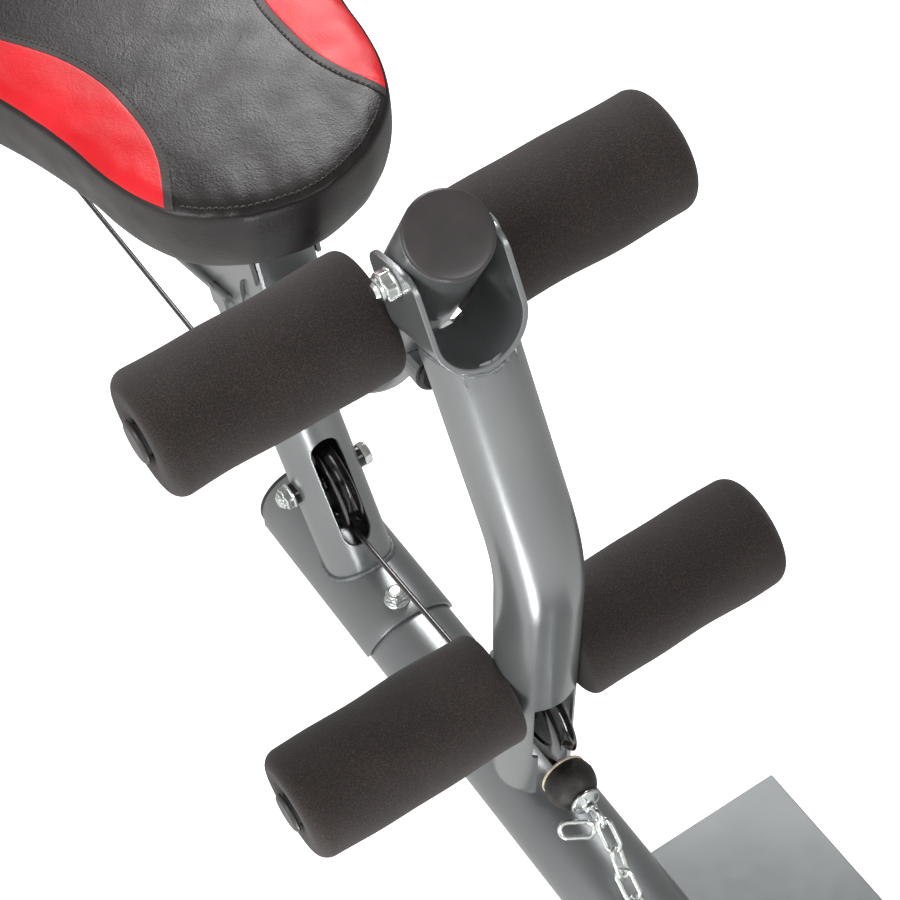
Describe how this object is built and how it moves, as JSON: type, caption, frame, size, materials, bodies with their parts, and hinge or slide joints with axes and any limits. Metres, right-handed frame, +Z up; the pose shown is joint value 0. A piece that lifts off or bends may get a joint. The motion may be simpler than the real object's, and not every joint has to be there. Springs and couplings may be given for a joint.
{
  "type": "adjustable weight bench",
  "caption": "Adjustable weight bench with a leg developer on foam rollers, a low cable pulley, a padded seat and a reclining padded backrest.",
  "frame": {"origin": "bottom centre of the bench's bounding box at rest, on the floor", "axes": "+Z up, -Y towards the foot plate and leg developer, +Y towards the backrest, X across the bench"},
  "size_m": [0.5286, 1.6238, 1.0434],
  "materials": {
    "silver_paint": "satin silver-grey powder coat",
    "zinc_hardware": "bright zinc plate",
    "brass_washer": "dull pale brass",
    "black_plastic": "glossy black moulded plastic",
    "black_rubber": "matt black rubber",
    "foam": "fine-celled dark foam",
    "black_vinyl": "grained black upholstery vinyl",
    "red_vinyl": "grained red upholstery vinyl inserts",
    "plywood": "bare plywood"
  },
  "bodies": {
    "frame": {"back_ear_left": "silver_paint", "back_ear_right": "silver_paint", "back_hinge_bolt": "zinc_hardware", "bumper_rubber": "black_rubber", "bumper_stub": "silver_paint", "cable": "black_plastic", "cable_anchor_bolt": "zinc_hardware", "cable_keeper": "silver_paint", "cable_lug": "silver_paint", "cable_rear_eye": "zinc_hardware", "floor_tube": "silver_paint", "floor_tube_cap_front": "black_plastic", "floor_tube_cap_rear": "black_plastic", "foot_plate": "silver_paint", "front_post": "silver_paint", "main_tube": "silver_paint", "main_tube_cap": "black_plastic", "plug_top_left": "black_plastic", "plug_top_right": "black_plastic", "post_axle_bolt": "zinc_hardware", "post_axle_nut": "zinc_hardware", "rear_base": "silver_paint", "rear_foot_left": "black_rubber", "rear_foot_right": "black_rubber", "rear_post": "silver_paint", "saddle_bolt": "zinc_hardware", "saddle_nut": "zinc_hardware", "saddle_plate": "silver_paint", "seat_board": "plywood", "seat_gusset_left": "silver_paint", "seat_gusset_right": "silver_paint", "seat_pad": "black_vinyl", "seat_post": "silver_paint", "seat_rail": "silver_paint", "top_rod": "silver_paint"},
    "developer": {"developer_tube": "silver_paint", "developer_yoke": "silver_paint", "hinge_bolt": "zinc_hardware", "hinge_nut": "zinc_hardware", "low_rod": "silver_paint", "plug_low_left": "black_plastic", "plug_low_right": "black_plastic", "developer_axle_bolt": "zinc_hardware", "developer_axle_nut": "zinc_hardware", "cable_tip": "black_plastic", "stop_washer": "brass_washer", "stop_ball": "black_rubber", "cable_eye": "zinc_hardware"},
    "chain": {"chain": "zinc_hardware"},
    "post_pulley": {"post_pulley": "black_plastic"},
    "developer_pulley": {"developer_pulley": "black_plastic"},
    "roller_top_left": {"roller_top_left": "foam"},
    "roller_top_right": {"roller_top_right": "foam"},
    "roller_low_left": {"roller_low_left": "foam"},
    "roller_low_right": {"roller_low_right": "foam"},
    "backrest": {"back_spine": "silver_paint", "back_quadrant": "silver_paint", "back_board": "plywood", "back_pad": "black_vinyl"},
    "lock_pin": {"lock_pin": "black_plastic"}
  },
  "joints": [
    {"name": "developer_lift", "type": "hinge", "parent": "frame", "child": "developer", "pos_m": [0, -0.50913, 0.6144], "axis": [-1, 0, 0], "range_deg": [0, 80]},
    {"name": "chain_swing", "type": "hinge", "parent": "developer", "child": "chain", "pos_m": [0, -0.57043, 0.1208], "axis": [-1, 0, 0], "range_deg": [-100, 0]},
    {"name": "back_recline", "type": "hinge", "parent": "frame", "child": "backrest", "pos_m": [0, 0.05807, 0.4893], "axis": [1, 0, 0], "range_deg": [-45, 30]},
    {"name": "lock_pin_slide", "type": "slide", "parent": "frame", "child": "lock_pin", "axis": [1, 0, 0], "range_m": [0, 0.0045]},
    {"name": "post_pulley_spin", "type": "hinge", "parent": "frame", "child": "post_pulley", "pos_m": [0, -0.21333, 0.1368], "axis": [1, 0, 0], "continuous": true},
    {"name": "developer_pulley_spin", "type": "hinge", "parent": "developer", "child": "developer_pulley", "pos_m": [0, -0.50443, 0.1818], "axis": [1, 0, 0], "continuous": true},
    {"name": "roller_top_left_spin", "type": "hinge", "parent": "frame", "child": "roller_top_left", "pos_m": [0, -0.45863, 0.5464], "axis": [1, 0, 0], "continuous": true},
    {"name": "roller_top_right_spin", "type": "hinge", "parent": "frame", "child": "roller_top_right", "pos_m": [0, -0.45863, 0.5464], "axis": [1, 0, 0], "continuous": true},
    {"name": "roller_low_left_spin", "type": "hinge", "parent": "developer", "child": "roller_low_left", "pos_m": [0, -0.51233, 0.2335], "axis": [1, 0, 0], "continuous": true},
    {"name": "roller_low_right_spin", "type": "hinge", "parent": "developer", "child": "roller_low_right", "pos_m": [0, -0.51233, 0.2335], "axis": [1, 0, 0], "continuous": true}
  ],
  "couplings": [
    {"joint": "chain_swing", "follows": "developer_lift", "ratio": -1.25}
  ]
}
